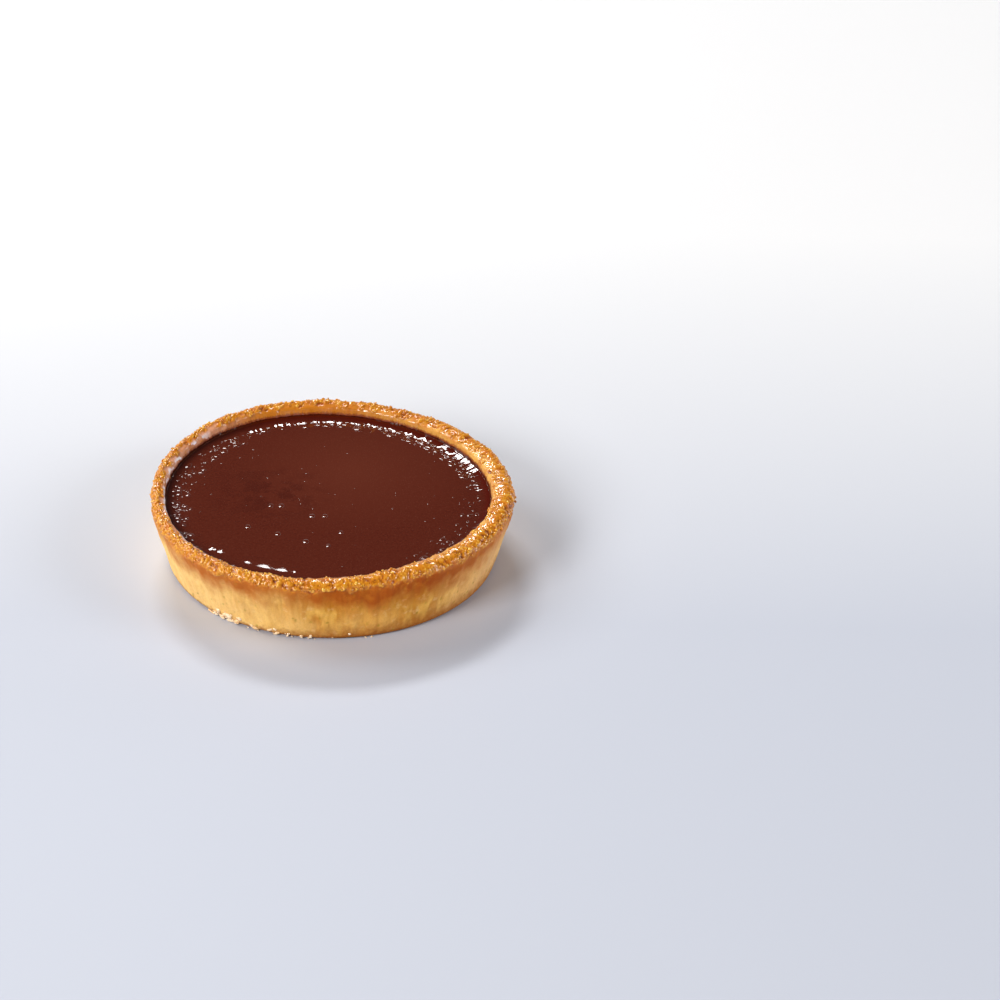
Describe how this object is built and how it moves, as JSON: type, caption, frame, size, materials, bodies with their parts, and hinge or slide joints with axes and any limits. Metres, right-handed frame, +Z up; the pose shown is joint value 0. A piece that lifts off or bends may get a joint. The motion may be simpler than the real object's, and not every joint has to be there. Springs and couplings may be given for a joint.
{
  "type": "chocolate tart",
  "caption": "Round individual chocolate tart: flared shortcrust case with a rough browned rim, filled nearly level with dark glossy set chocolate.",
  "frame": {"origin": "centre of the tart's bounding box, on its flat underside", "axes": "+Z up out of the chocolate surface; +Y towards the back, with the wider side of the rim at +X"},
  "size_m": [0.0852, 0.0854, 0.0175],
  "materials": {
    "baked_crust": "golden shortcrust, browned band under a glazed granular rim",
    "chocolate": "glossy dark set chocolate with small bubbles"
  },
  "bodies": {
    "root": {"crust": "baked_crust", "filling": "chocolate"}
  },
  "joints": []
}
